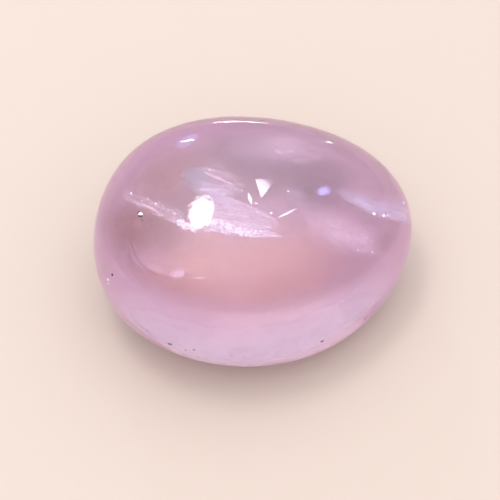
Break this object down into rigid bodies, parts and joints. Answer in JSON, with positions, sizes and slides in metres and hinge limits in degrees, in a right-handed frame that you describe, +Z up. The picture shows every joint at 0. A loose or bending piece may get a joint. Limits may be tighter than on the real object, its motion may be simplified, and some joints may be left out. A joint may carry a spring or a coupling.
{
  "type": "tumbled rose quartz",
  "caption": "Polished tumbled pebble of translucent pale pink rose quartz with cloudy veils inside, resting on a small worn flat.",
  "frame": {"origin": "under the middle of the stone's box, on the surface that it rests on", "axes": "+X along the longest extent, from the blunt end to the narrow end; +Y across it; +Z up, from the resting flat to the crown"},
  "size_m": [0.034, 0.0254, 0.0197],
  "materials": {
    "quartz": "high tumbled polish, cloudy pale pink crystal"
  },
  "bodies": {
    "root": {"rose_quartz": "quartz"}
  },
  "joints": []
}
